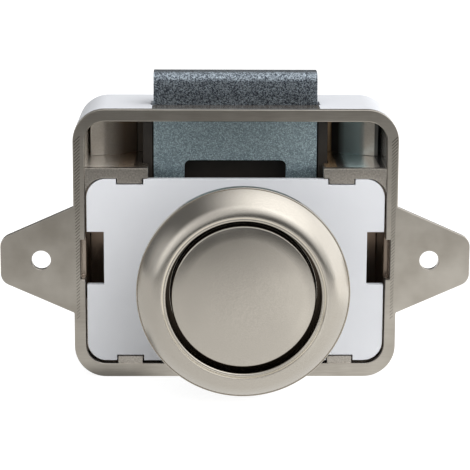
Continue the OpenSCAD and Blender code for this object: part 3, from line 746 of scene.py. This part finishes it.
def mark_rows():
    """Geometry nodes: two rows of slanting marks, smaller and smaller downwards"""
    tree = bpy.data.node_groups.new("milled_mark_rows", "GeometryNodeTree")
    tree.interface.new_socket(name="Geometry", in_out="INPUT", socket_type="NodeSocketGeometry")
    for name, kind in (
        ("Marks in a row", "NodeSocketInt"),
        ("Step", "NodeSocketVector"),
        ("Left top", "NodeSocketVector"),
        ("Right top", "NodeSocketVector"),
        ("Mark size", "NodeSocketVector"),
        ("Slant", "NodeSocketVector"),
        ("Last mark", "NodeSocketFloat"),
    ):
        tree.interface.new_socket(name=name, in_out="INPUT", socket_type=kind)
    tree.interface.new_socket(name="Marks", in_out="OUTPUT", socket_type="NodeSocketGeometry")
    given = tree.nodes.new("NodeGroupInput").outputs
    count = given["Marks in a row"]
    rows = tree.nodes.new("GeometryNodeJoinGeometry")
    for top in ("Left top", "Right top"):
        sockets = {"Count": count, "Start Location": given[top], "Offset": given["Step"]}
        row = add_node(tree, "GeometryNodeMeshLine", sockets)
        place = add_node(tree, "GeometryNodeInputIndex").outputs[0]
        size = spread(tree, place, 0.0, count, 1.0, given["Last mark"])
        block = add_node(tree, "GeometryNodeMeshCube", {"Size": given["Mark size"]}).outputs["Mesh"]
        sockets = {"Points": row.outputs[0], "Instance": block, "Rotation": given["Slant"], "Scale": size}
        marks = add_node(tree, "GeometryNodeInstanceOnPoints", sockets).outputs[0]
        tree.links.new(marks, rows.inputs[0])
    solid = add_node(tree, "GeometryNodeRealizeInstances", {"Geometry": rows.outputs[0]}).outputs[0]
    sockets = {"Geometry": solid, "Material": FINISHES["milled"][0]}
    coated = add_node(tree, "GeometryNodeSetMaterial", sockets).outputs[0]
    out = tree.nodes.new("NodeGroupOutput")
    tree.links.new(coated, out.inputs["Marks"])
    return tree


def milled_marks():
    """Marks that the cutter left along both side rails, from the top down"""
    piece = new_piece("rail_milling_marks", bpy.data.meshes.new("rail_milling_marks"))
    rows = piece.modifiers.new("Milled marks", "NODES")
    rows.node_group = mark_rows()
    values = {
        "Marks in a row": MARKS_IN_ROW,
        "Step": (0, 0, -MARK_STEP * MM),
        "Left top": (-MARK_X * MM, -MARK_SINK * MM, MARK_TOP * MM),
        "Right top": (MARK_X * MM, -MARK_SINK * MM, MARK_TOP * MM),
        "Mark size": tuple(v * MM for v in MARK_SIZE),
        "Slant": (0, math.radians(MARK_SLANT), 0),
        "Last mark": LAST_MARK,
    }
    for item in rows.node_group.interface.items_tree:
        if item.name in values:
            rows[item.identifier] = values[item.name]
    baked(piece)
    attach(piece, "case")


milled_marks()


def camera_at_photo():
    """The photograph's view: about 12 degrees above the lock, a little to the left of square on"""
    down, yaw, roll = (math.radians(v) for v in (CAMERA_DOWN, CAMERA_YAW, CAMERA_ROLL))
    ahead = Vector((math.sin(yaw) * math.cos(down), math.cos(yaw) * math.cos(down), -math.sin(down)))
    level = Vector((math.cos(yaw), -math.sin(yaw), 0))
    upright = level.cross(ahead)
    right = math.cos(roll) * level + math.sin(roll) * upright
    up = -math.sin(roll) * level + math.cos(roll) * upright
    camera = bpy.data.cameras.new("photo_camera")
    camera.sensor_width = FILM_WIDTH
    camera.lens = FILM_WIDTH * FOCAL_PIXELS / PICTURE_PIXELS
    camera.clip_start = 0.01
    camera.clip_end = 20
    seen = bpy.data.objects.new("photo_camera", camera)
    bpy.context.scene.collection.objects.link(seen)
    turn = Matrix((right, up, -ahead)).transposed().to_4x4()
    seen.matrix_world = Matrix.Translation((Vector(CAMERA_AIM) - ahead * CAMERA_AWAY) * MM) @ turn
    bpy.context.scene.camera = seen


def soft_lamp(name, place, side, watts):
    """A square of light on the lock, for the plastics only: the metal mirrors the room itself"""
    lamp = bpy.data.lights.new(name, "AREA")
    lamp.shape = "SQUARE"
    lamp.size = side
    lamp.energy = watts
    made = bpy.data.objects.new(name, lamp)
    bpy.context.scene.collection.objects.link(made)
    made.visible_glossy = False
    made.location = place
    made.rotation_euler = (-Vector(place)).to_track_quat("-Z", "Y").to_euler()


def patch(tree, place, middle, reach, inner, outer, core=0.2):
    """A value that is inner in the core of an oval and goes softly to outer at its edge"""
    off = vector_maths(tree, "SUBTRACT", place, middle)
    off = vector_maths(tree, "LENGTH", vector_maths(tree, "DIVIDE", off, reach))
    return soft_step(tree, off, core, 1.0, inner, outer)


def mirrored_table(tree):
    """How bright metal sees the table, a painted reflection: bright near the lock, grey far ahead, with
    painted shadows
    """
    place = add_node(tree, "ShaderNodeTexCoord").outputs["Object"]
    x = along(tree, place, "X")
    y = along(tree, place, "Y")
    here = soft_step(tree, x, *TABLE_TURN, TABLE_LEFT, TABLE_RIGHT)
    pool = soft_step(tree, maths(tree, "ADD", x, y), *POOL_FROM, 0.0, TABLE_POOL)
    far = soft_step(tree, y, *FAR_TO, TABLE_FAR, 1.0)
    shade = times(tree, maths(tree, "ADD", here, pool), far)
    for middle, reach, inner in TABLE_PAINTED_SPOTS:
        shade = times(tree, shade, patch(tree, place, middle, reach, inner, 1.0))
    return shade


def white_floor():
    """A white table, which the camera, the metal and the plastics each see in their own way"""
    mesh = bpy.data.meshes.new("floor")
    corners = [(-1, -1), (1, -1), (1, 1), (-1, 1)]
    spots = [(x * TABLE_REACH, y * TABLE_REACH, TABLE_Z) for x, y in corners]
    mesh.from_pydata(spots, [], [(0, 1, 2, 3)])
    floor = new_piece("floor", mesh)
    material = bpy.data.materials.new("white_table")
    material.use_nodes = True
    tree = material.node_tree
    tree.nodes.clear()
    sockets = {"Color": (1, 0.985, 0.95, 1), "Strength": mirrored_table(tree)}
    # The metal sees the table as a painted glow, with painted shadow and painted light in it
    mirrored = add_node(tree, "ShaderNodeEmission", sockets).outputs[0]
    lit = add_node(tree, "ShaderNodeBsdfDiffuse", {"Color": (0.8, 0.79, 0.77, 1)}).outputs[0]
    shadowed = add_node(tree, "ShaderNodeBsdfDiffuse", {"Color": (0.35, 0.35, 0.35, 1)}).outputs[0]
    glow = add_node(tree, "ShaderNodeEmission", {"Color": (1, 1, 1, 1), "Strength": 0.88}).outputs[0]
    seen = add_node(tree, "ShaderNodeAddShader", {0: shadowed, 1: glow}).outputs[0]
    path = add_node(tree, "ShaderNodeLightPath").outputs
    for ray, view in (("Is Glossy Ray", mirrored), ("Is Camera Ray", seen)):
        lit = add_node(tree, "ShaderNodeMixShader", {0: path[ray], 1: lit, 2: view}).outputs[0]
    add_node(tree, "ShaderNodeOutputMaterial", {"Surface": lit})
    mesh.materials.append(material)


def studio_air():
    """A dark room behind on the left, an even front, a large soft light above and a pale right wall"""
    world = bpy.data.worlds.new("studio")
    bpy.context.scene.world = world
    world.use_nodes = True
    tree = world.node_tree
    tree.nodes.clear()
    way = add_node(tree, "ShaderNodeTexCoord").outputs["Generated"]
    x = along(tree, way, "X")
    y = along(tree, way, "Y")
    top = patch(tree, way, *TOP_LIGHT, 0.0)
    wall = soft_step(tree, x, *SIDE_FROM, 0.0, SIDE_BRIGHT)
    wall = times(tree, wall, soft_step(tree, y, *SIDE_BEHIND, 0.0, 1.0))
    left = maths(tree, "ADD", patch(tree, way, *LEFT_LIGHT, 0.0), patch(tree, way, *CORNER_LIGHT, 0.0))
    front = soft_step(tree, y, *FRONT_TO, ROOM_DARK + ROOM_FRONT, ROOM_DARK)
    front = times(tree, front, patch(tree, way, *LOW_FRONT, 1.0))
    strength = maths(tree, "ADD", maths(tree, "MAXIMUM", top, wall), maths(tree, "ADD", left, front))
    white = add_node(tree, "ShaderNodeBackground", {"Color": (1, 1, 1, 1), "Strength": 1.0}).outputs[0]
    sockets = {"Color": (1, 0.995, 0.98, 1), "Strength": strength}
    soft = add_node(tree, "ShaderNodeBackground", sockets).outputs[0]
    path = add_node(tree, "ShaderNodeLightPath").outputs["Is Camera Ray"]
    shown = add_node(tree, "ShaderNodeMixShader", {0: path, 1: soft, 2: white}).outputs[0]
    add_node(tree, "ShaderNodeOutputWorld", {"Surface": shown})


camera_at_photo()
white_floor()
studio_air()
for name, place, side, watts in LAMPS:
    soft_lamp(name, place, side, watts)
bpy.context.scene.view_settings.view_transform = "Standard"
